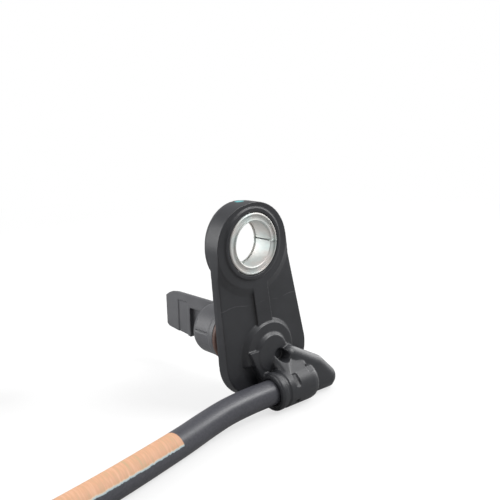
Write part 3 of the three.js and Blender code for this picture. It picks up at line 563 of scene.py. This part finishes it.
dimple(0.0076, 0.0100, 60, 0.0016, 0.00035)
dimple(0.0035, 0.0046, 38, 0.0025, 0.0004)
dimple(0.0034, 0.0045, -33, 0.0008, 0.00045)
bush_hole = turned([(-0.002, BUSH_OUTER + 0.0001), (0.008, BUSH_OUTER + 0.0001)], bush_at, TO_LEAD, 128)
lead_hole = turned([(-0.002, LEAD_RADIUS + 0.00015), (0.003, LEAD_RADIUS + 0.00015)], MOUTH, ALONG_X)
cut(flange, bush_hole, lead_hole)
soften(flange, 0.00014, 2, 0.45)

black_look, moulding, place = blank("black_moulding")
grain = moulding.noise(place, 3000.0, 3.0)
haze = moulding.noise(place, 160.0, 4.0)
colour = moulding.ramp(haze, (0.3, (0.022, 0.023, 0.026)), (0.7, (0.033, 0.034, 0.038)))
bump = moulding.add("ShaderNodeBump", None, 0, 0.25, 0.00002, None, grain)

# Along the flange's face a faint wavy line is left where two parts of the mould met.
x = moulding.add("ShaderNodeSeparateXYZ", None, 0, place)
y = moulding.add("ShaderNodeSeparateXYZ", None, 1, place)
z = moulding.add("ShaderNodeSeparateXYZ", None, 2, place)
wave = (x * 900.0).maths("SINE") * 0.00022
gap = (z + 0.0044 - wave).maths("ABSOLUTE")
seam = moulding.rise(gap, 0.00012, 0.0, "SMOOTHSTEP")
on_face = moulding.rise(y, PLATE_FRONT + 0.0003, PLATE_FRONT + 0.0001)
flash = seam * on_face * moulding.rise(haze, 0.4, 0.55)
bump = moulding.add("ShaderNodeBump", None, 0, 0.6, 0.00006, None, flash, bump)
colour = moulding.mix(flash * 0.5, colour, (0.16, 0.16, 0.17))

# A small dab of teal paint lies on top of the boss.
DAB_AT = (-0.00125, -0.0014, 0.01430)
from_dab = moulding.add("ShaderNodeVectorMath", {"operation": "DISTANCE"}, 1, place, DAB_AT)
dab = moulding.rise(from_dab + grain * 0.0004, 0.00125, 0.00085, "SMOOTHSTEP")
colour = moulding.mix(dab * 0.8, colour, (0.13, 0.46, 0.48))
moulding.surface(Base_Color=colour, Roughness=haze * 0.12 + 0.34, Normal=bump, Specular_IOR_Level=0.45)
ride_root(flange, "flange_moulding", black_look, "flange_body")

# Fixing bush
# A strip of steel rolled to a tube, with a hairline slit where its ends meet and its rims rounded.
# It is zinc plated and passivated, which leaves a faint blue and yellow tint.
BUSH_NEAR = -0.0049
BORE = 0.00405
BUSH_ROUND = 0.00035
HALF_SLIT = 0.000012
arc = [
    (BUSH_ROUND * (1 - math.cos(a)), BUSH_ROUND * (1 - math.sin(a))) for a in (0, 0.4, 0.8, 1.2, math.pi / 2)
]
profile = [(BUSH_OUTER - inset, -drop) for drop, inset in reversed(arc)]
profile += [(BUSH_OUTER - inset, BUSH_NEAR + drop) for drop, inset in arc]
profile += [(BORE + inset, BUSH_NEAR + drop) for drop, inset in reversed(arc)]
profile += [(BORE + inset, -drop) for drop, inset in arc]
bpy.ops.object.select_all(action="DESELECT")
bpy.ops.mesh.primitive_circle_add(vertices=len(profile), radius=0.001, fill_type="NOTHING")
bush = bpy.context.object
for corner, (radius, y) in zip(bush.data.vertices, profile):
    corner.co = (BUSH_X + radius, y, BUSH_Z)
half_slit = math.atan(HALF_SLIT / BUSH_OUTER)
to_axis = Matrix.Translation(bush_at)
from_axis = Matrix.Translation((-BUSH_X, 0, -BUSH_Z))
bush.data.transform(to_axis @ Matrix.Rotation(-half_slit, 4, "Y") @ from_axis)
bpy.ops.object.mode_set(mode="EDIT")
bpy.ops.mesh.select_all(action="SELECT")
bpy.ops.mesh.spin(steps=120, angle=2 * math.pi - 2 * half_slit, center=bush_at, axis=TO_LEAD)
bpy.ops.mesh.select_all(action="SELECT")
bpy.ops.mesh.fill_holes(sides=0)
bpy.ops.mesh.normals_make_consistent(inside=False)
bpy.ops.object.mode_set(mode="OBJECT")
rounding = bush.modifiers.new("rounding", "BEVEL")
rounding.width = 0.0006
rounding.segments = 5
rounding.limit_method = "ANGLE"
rounding.angle_limit = math.radians(60)
bpy.context.view_layer.objects.active = bush
bpy.ops.object.modifier_apply(modifier=rounding.name)
bpy.ops.object.shade_smooth()

zinc_look, plating, place = blank("zinc_plate")
bloom = plating.noise(place, 260.0, 3.0)
brush = plating.noise(place, 2200.0, 2.0)
tint = plating.ramp(bloom, (0.3, (0.60, 0.68, 0.67)), (0.5, (0.66, 0.67, 0.65)), (0.7, (0.70, 0.65, 0.62)))
bump = plating.add("ShaderNodeBump", None, 0, 0.3, 0.00002, None, brush)
plating.surface(Base_Color=tint, Metallic=0.4, Roughness=brush * 0.15 + 0.5, Normal=bump)
ride_root(bush, "bush_tube", zinc_look, "fixing_bush")

# Nose
# One plastic moulding over the chip's carrier: a root with a groove for the seal, a collar, and a half-round
# blade whose flat side carries the sensing block. Its edges are softly rounded by the mould.
NOSE_RADIUS, ROOT_RADIUS, GROOVE_RADIUS, BLADE_RADIUS = 0.00505, 0.0052, 0.00445, 0.00495
ROOT_END, GROOVE_END, STEP_END = 0.0037, 0.0053, 0.0067
COLLAR_EDGE, COLLAR_END = 0.0007, 0.0116
BLOCK_START, TIP = 0.0205, 0.029
BLADE_FLAT, SLOT_FLAT, SLOT_TOP = 0.001, 0.0021, 0.00185
SLOPE, SLOPE_START = math.radians(6), COLLAR_END + 0.0044
RECESS_START, RECESS_END = 0.0214, 0.0246
CAVITY = 0.0037
WIDE, PAST = 0.01, 0.001
nose = turned(
    [
        (-PLATE_BACK, ROOT_RADIUS), (-ROOT_END, ROOT_RADIUS), (-ROOT_END, GROOVE_RADIUS),
        (-GROOVE_END, GROOVE_RADIUS), (-GROOVE_END, ROOT_RADIUS), (-STEP_END + 0.0002, ROOT_RADIUS),
        (-STEP_END, NOSE_RADIUS),
        (-COLLAR_END + COLLAR_EDGE, NOSE_RADIUS), (-COLLAR_END, 0.0048), (-COLLAR_END - 0.0002, BLADE_RADIUS),
        (-0.0248, BLADE_RADIUS), (-0.0264, 0.0047), (-0.02782, 0.00415), (-TIP, 0.00345),
    ],
    (NOSE_X, 0, NOSE_Z), TO_LEAD,
)


def nose_cut(x0, x1, y0, y1, z0, z1):
    """Cuts a box from the nose. Its sides are given from the nose's axis, its ends from the seat."""
    cut(nose, block((NOSE_X + x0, y0, NOSE_Z + z0), (NOSE_X + x1, y1, NOSE_Z + z1)))


nose_cut(-WIDE, BLADE_FLAT, COLLAR_END, TIP + PAST, -WIDE, WIDE)
nose_cut(0, SLOT_FLAT, COLLAR_END, BLOCK_START, -WIDE, SLOT_TOP)
underneath = block(
    (NOSE_X - WIDE, SLOPE_START, NOSE_Z - WIDE), (NOSE_X + WIDE, TIP + PAST, NOSE_Z - NOSE_RADIUS)
)
for corner in underneath.data.vertices:
    if corner.co.y > TIP and corner.co.z > NOSE_Z - 0.006:
        corner.co.z += math.tan(SLOPE) * (TIP + PAST - SLOPE_START)
cut(nose, underneath)
nose_cut(0, 0.00125, RECESS_START, RECESS_END, -WIDE, 0.00295)
nose_cut(-WIDE, -NOSE_RADIUS + 0.0003, 0.007, 0.0107, 0.0005, 0.0008)
nose_cut(CAVITY - 0.0011, CAVITY, -0.003, 0.026, -0.0021, 0.0021)
nose_cut(CAVITY - 0.0021, CAVITY, 0.0212, 0.026, -0.0026, 0.0026)
soften(nose, 0.00012, 3, 0.45)

# The nose is the same black plastic as the flange, but its copy of the finish has a paler base colour. That
# paleness is painted sheen, standing in for the side lamp's light on the nose.
nose_painted_sheen_look = black_look.copy()
nose_painted_sheen_look.name = "nose_moulding"
for node in nose_painted_sheen_look.node_tree.nodes:
    if node.type == "VALTORGB":
        for stop, shade in zip(node.color_ramp.elements, ((0.076, 0.077, 0.083), (0.098, 0.099, 0.106))):
            stop.color = (*shade, 1)
ride_root(nose, "nose_moulding", nose_painted_sheen_look, "nose_housing")

# Seal ring
# A moulded rubber ring of round section, stretched into the groove of the nose's root.
RING_Y, RING_RADIUS, RING_HALF = 0.0045, 0.005075, 0.000525
bpy.ops.object.select_all(action="DESELECT")
bpy.ops.mesh.primitive_torus_add(
    location=(NOSE_X, RING_Y, NOSE_Z), rotation=(math.pi / 2, 0, 0), major_segments=96, minor_segments=20,
    major_radius=RING_RADIUS, minor_radius=RING_HALF,
)
ring = bpy.context.object
bpy.ops.object.transform_apply()
bpy.ops.object.shade_smooth()

ring_look, rubber, place = blank("brown_rubber")
mottle = rubber.noise(place, 900.0, 3.0)
colour = rubber.ramp(mottle, (0.3, (0.075, 0.040, 0.030)), (0.7, (0.12, 0.068, 0.055)))
bump = rubber.add("ShaderNodeBump", None, 0, 0.2, 0.00002, None, mottle)
rubber.surface(Base_Color=colour, Roughness=mottle * 0.2 + 0.45, Normal=bump)
ride_root(ring, "seal_ring", ring_look, "nose_seal_ring")

# Coil tie
# A moulded nylon clip over the turns of the coil, open underneath, with four shallow grooves in its top.
TIE_LOW = (-0.1290, 0.00745, FLOOR_Z)
TIE_HIGH = (-0.1170, 0.01245, -0.013657)
TIE_WALL = 0.001


def even(piece):
    """Smooths the shading of a piece except across its sharp edges."""
    bpy.ops.object.select_all(action="DESELECT")
    piece.select_set(True)
    bpy.context.view_layer.objects.active = piece
    bpy.ops.object.shade_smooth_by_angle(angle=math.radians(35))


def ease(piece, width, segments=3):
    """Bevels every sharp edge a little."""
    bevel = piece.modifiers.new("ease", "BEVEL")
    bevel.width = width
    bevel.segments = segments
    bevel.limit_method = "ANGLE"
    bevel.angle_limit = math.radians(40)
    bevel.harden_normals = True
    bpy.context.view_layer.objects.active = piece
    bpy.ops.object.modifier_apply(modifier=bevel.name)
    even(piece)


def moulded(name, low_colour, high_colour, roughness, scale=1600.0):
    """A moulded plastic or rubber with a fine mottle in its colour and its surface."""
    material, tree, place = blank(name)
    mottle = tree.noise(place, scale, 3.0)
    colour = tree.ramp(mottle, (0.3, low_colour), (0.7, high_colour))
    bump = tree.add("ShaderNodeBump", None, 0, 0.2, 0.00002, None, mottle)
    tree.surface(Base_Color=colour, Roughness=mottle * 0.16 + (roughness - 0.08), Normal=bump)
    return material


tie = block(TIE_LOW, TIE_HIGH)
ease(tie, 0.0008, 4)
cut(tie, block(
    (TIE_LOW[0] + TIE_WALL, 0.006, FLOOR_Z - 0.001), (TIE_HIGH[0] - TIE_WALL, 0.014, TIE_HIGH[2] - TIE_WALL)
))
for x in (-0.1256, -0.1240, -0.1224, -0.1208):
    cut(tie, block((x, 0.0085, -0.01385), (x + 0.0006, 0.0114, -0.0130)))
tie_look = moulded("tie_nylon", (0.034, 0.034, 0.037), (0.048, 0.048, 0.052), 0.42)
ride_root(tie, "tie_clip", tie_look, "coil_tie")

# Plug boot
# A black rubber sleeve that grips the sheath and enters the plug, with three grooves round its taper.
BOOT_X = -0.0714
BOOT_NARROW, BOOT_WIDE = 0.0030, 0.0042
BOOT_TAPER, BOOT_FLARE = 0.0076, 0.0012
boot_rings = [(0, 0.0027), (0.0003, BOOT_NARROW)]
for i in range(3):
    x = 0.0012 + i * 0.0019
    wide = BOOT_NARROW + BOOT_FLARE * x / BOOT_TAPER
    boot_rings += [(x, wide), (x + 0.0001, wide - 0.0004)]
    boot_rings += [(x + 0.0008, wide - 0.0003), (x + 0.0009, wide + 0.0001)]
boot_rings += [(BOOT_TAPER, BOOT_WIDE), (0.0108, BOOT_WIDE), (0.0110, 0.0040)]
boot = turned(boot_rings, (BOOT_X, TAIL_Y, PLUG_Z), ALONG_X, 64)
for side in (-0.0015, 0.0015):
    cut(boot, turned([(0, 0.000825), (0.004, 0.000825)], (-0.0629, TAIL_Y + side, PLUG_Z), ALONG_X, 32))
ease(boot, 0.00012, 2)
boot_look = moulded("boot_rubber", (0.024, 0.024, 0.025), (0.038, 0.038, 0.040), 0.62, 1100.0)
ride_root(boot, "rubber_boot", boot_look, "plug_boot")

# Plug housing
# A black moulded shell with a deep socket, a latch ramp on top and grip grooves on one side.
# The boot enters it from behind, and the pins and the lock bar have their own openings.
PLUG_START, PLUG_END, SOCKET_FLOOR = -0.0634, -0.0404, -0.0524
PLUG_WIDTH, PLUG_HEIGHT, PLUG_CORNER = 0.0130, 0.0124, 0.0024
LATCH_START, LATCH_END, LATCH_TOP, LATCH_HALF = -0.0484, -0.0450, 0.0077, 0.0025
LOCK_START, LOCK_END, LOCK_HALF = -0.0554, -0.0540, 0.0029
PLAY = 0.0001
PIN_SIDE, PIN_HALF_WIDTH, PIN_HALF_HEIGHT = 0.0020, 0.00075, 0.00032


def bar(x0, x1, width, height, corner, sides=32):
    """A bar along the plug's centre line with rounded edges."""
    return hull(*[
        turned(
            [(0, corner), (x1 - x0, corner)],
            (x0, TAIL_Y + a * (width / 2 - corner), PLUG_Z + b * (height / 2 - corner)), ALONG_X, sides,
        )
        for a in (-1, 1) for b in (-1, 1)
    ])


def plug_block(x0, x1, y0, y1, z0, z1):
    """A box placed from the plug's centre line."""
    return block((x0, TAIL_Y + y0, PLUG_Z + z0), (x1, TAIL_Y + y1, PLUG_Z + z1))


plug = bar(PLUG_START, PLUG_END, PLUG_WIDTH, PLUG_HEIGHT, PLUG_CORNER, 48)
ease(plug, 0.0005, 3)
for x in (-0.0612, -0.0600, -0.0588):
    cut(plug, plug_block(x, x + 0.0006, -0.0070, -0.0062, -0.0035, 0.0035))
ramp = plug_block(LATCH_START, LATCH_END, -LATCH_HALF, LATCH_HALF, 0.0058, LATCH_TOP)
for vertex in ramp.data.vertices:
    if vertex.co.z > PLUG_Z + 0.007 and vertex.co.x > -0.046:
        vertex.co.z = PLUG_Z + 0.0065
ease(ramp, 0.0002, 2)
work(plug, ramp, "UNION")
cut(
    plug,
    bar(SOCKET_FLOOR, -0.0390, 0.0096, 0.0080, 0.0018),
    turned([(0, 0.0043), (0.0041, 0.0043)], (-0.0644, TAIL_Y, PLUG_Z), ALONG_X, 64),
    plug_block(-0.0614, -0.0540, -0.0036, 0.0036, -0.0016, 0.0016),
    plug_block(LOCK_START - PLAY, LOCK_END + PLAY, 0.0045, 0.0090, -LOCK_HALF - PLAY, LOCK_HALF + PLAY),
)
for side in (-PIN_SIDE, PIN_SIDE):
    half = PIN_HALF_WIDTH + PLAY
    deep = PIN_HALF_HEIGHT + PLAY
    cut(plug, plug_block(-0.0554, SOCKET_FLOOR + 0.001, side - half, side + half, -deep, deep))
even(plug)
plug_look = moulded("plug_nylon", (0.040, 0.040, 0.044), (0.056, 0.056, 0.061), 0.44)
ride_root(plug, "plug_shell", plug_look, "plug_housing")

# Plug seal
# A blue rubber ring pressed against the socket's floor, moulded with its edges rounded.
seal = bar(SOCKET_FLOOR, -0.0506, 0.0094, 0.0078, 0.0017)
ease(seal, 0.00025, 3)
cut(seal, bar(-0.0530, -0.0500, 0.0074, 0.0058, 0.0009))
seal_look = moulded("seal_rubber", (0.045, 0.20, 0.34), (0.065, 0.26, 0.42), 0.55, 1100.0)
ride_root(seal, "socket_seal", seal_look, "plug_seal")

# Plug lock
# A grey moulded bar pushed into the plug's side, with a finger groove across its outer face.
lock = block((LOCK_START, 0.0428, PLUG_Z - LOCK_HALF), (LOCK_END, 0.0454, PLUG_Z + LOCK_HALF))
ease(lock, 0.00015, 2)
cut(lock, block((-0.0560, 0.0451, PLUG_Z - 0.0010), (-0.0530, 0.0460, PLUG_Z + 0.0010)))
lock_look = moulded("lock_plastic", (0.52, 0.53, 0.54), (0.60, 0.61, 0.62), 0.45)
ride_root(lock, "lock_bar", lock_look, "plug_lock")

# Plug pins
# Two tinned copper blades with bevelled edges, drawn flat and fixed in the socket's floor.
def metal(name, low_colour, high_colour, roughness):
    """A bare or plated metal with fine drawn marks along X."""
    material, tree, place = blank(name)
    drawn = tree.add("ShaderNodeMapping", None, 0, place, None, None, (300, 6000, 6000))
    marks = tree.noise(drawn, 1.0, 3.0)
    colour = tree.ramp(marks, (0.3, low_colour), (0.7, high_colour))
    bump = tree.add("ShaderNodeBump", None, 0, 0.15, 0.00001, None, marks)
    tree.surface(Base_Color=colour, Metallic=1.0, Roughness=marks * 0.2 + roughness, Normal=bump)
    return material


tinned_look = metal("tinned_copper", (0.62, 0.63, 0.64), (0.72, 0.73, 0.74), 0.25)
for letter, side in (("a", -PIN_SIDE), ("b", PIN_SIDE)):
    pin = plug_block(
        -0.0594, -0.0460, side - PIN_HALF_WIDTH, side + PIN_HALF_WIDTH, -PIN_HALF_HEIGHT, PIN_HALF_HEIGHT
    )
    ease(pin, 0.00018, 2)
    ride_root(pin, f"pin_blade_{letter}", tinned_look, f"plug_pin_{letter}")

# Inner pieces
# The chip, its carrier and capacitor, the terminals and the cores keep their modelled shapes.
# Each gets its own finish: moulded epoxy, nylon and ceramic, tinned copper, insulated cores and bare strands.
epoxy_look = moulded("chip_epoxy", (0.030, 0.030, 0.032), (0.040, 0.040, 0.042), 0.55)
inner_look = moulded("inner_plastic", (0.055, 0.055, 0.060), (0.075, 0.075, 0.080), 0.5)
ceramic_look = moulded("capacitor_ceramic", (0.44, 0.31, 0.16), (0.56, 0.40, 0.22), 0.5, 2600.0)
core_black_look = moulded("core_black", (0.030, 0.030, 0.030), (0.040, 0.040, 0.040), 0.4)
core_brown_look = moulded("core_brown", (0.17, 0.075, 0.035), (0.22, 0.10, 0.045), 0.4)
copper_look = metal("copper_wire", (0.80, 0.42, 0.26), (0.90, 0.52, 0.34), 0.22)
for look, slot, names in (
    (inner_look, "inner_plastic", ["chip_carrier"]),
    (epoxy_look, "epoxy", ["sensing_chip"]),
    (ceramic_look, "ceramic", ["supply_capacitor"]),
    (tinned_look, "tinned_copper", ["chip_lead_a", "chip_lead_b", "terminal_a", "terminal_b"]),
    (core_black_look, "core_black", ["core_a"]),
    (core_brown_look, "core_brown", ["core_b"]),
    (copper_look, "copper_wire", ["core_conductor_a", "core_conductor_b"]),
):
    for name in names:
        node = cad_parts[name]
        node.data.materials.clear()
        node.data.materials.append(look)
